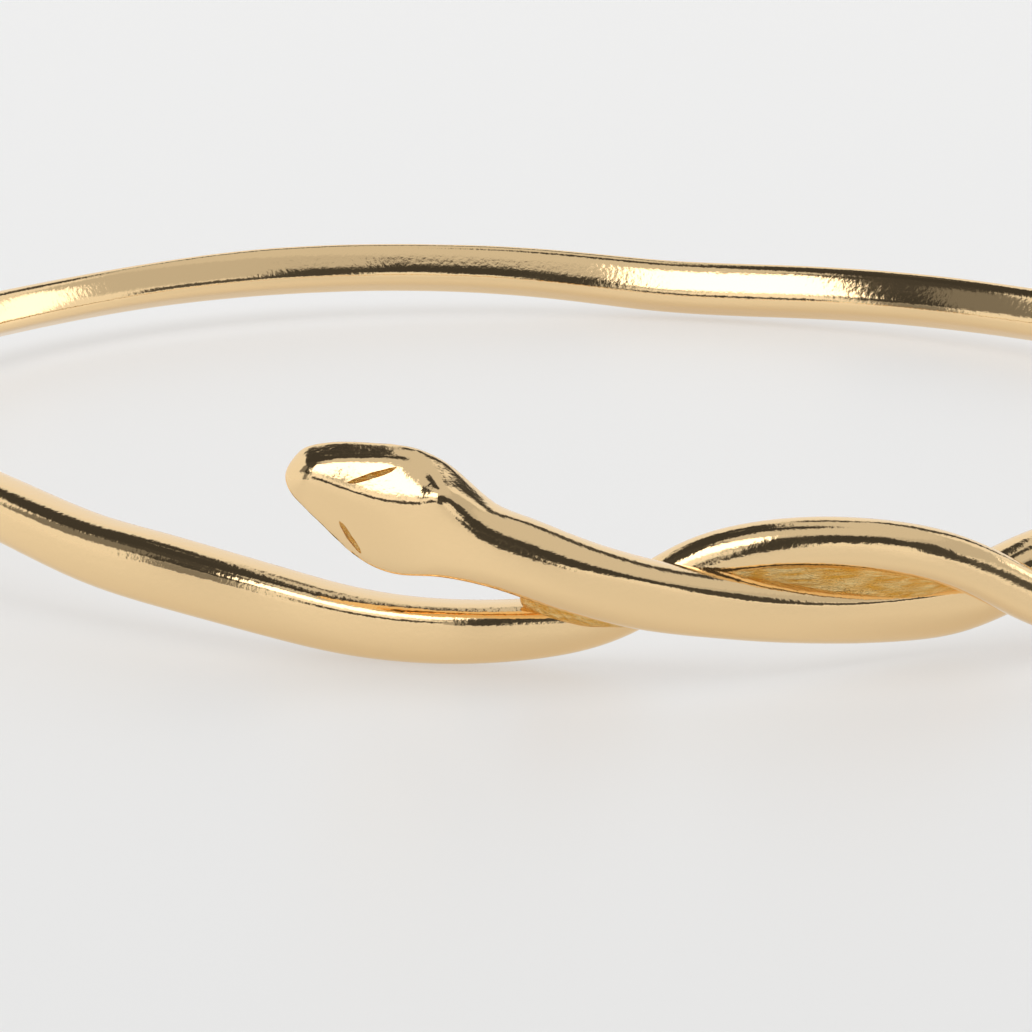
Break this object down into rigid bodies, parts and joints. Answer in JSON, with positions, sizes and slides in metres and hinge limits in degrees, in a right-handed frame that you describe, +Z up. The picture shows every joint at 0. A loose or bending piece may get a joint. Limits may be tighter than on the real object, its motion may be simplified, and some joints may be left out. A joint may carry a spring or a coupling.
{
  "type": "snake bangle",
  "caption": "Closed rigid bangle cast as one snake: the head lies outside the ring and the tapered tail twists once round the neck.",
  "frame": {"origin": "middle of the ring, at the level of the surface it rests on when it lies on its side", "axes": "+Z up through the ring along the wrist, -Y towards the middle of the twist at the front, +X towards the tail's side, so the head lies on the -X side of the twist"},
  "size_m": [0.0643, 0.065, 0.0077],
  "materials": {
    "polished_gold": "polished pale gold, slightly uneven as hand-finished, rough as cast between the strands"
  },
  "bodies": {
    "root": {"snake_bangle": "polished_gold"}
  },
  "joints": []
}
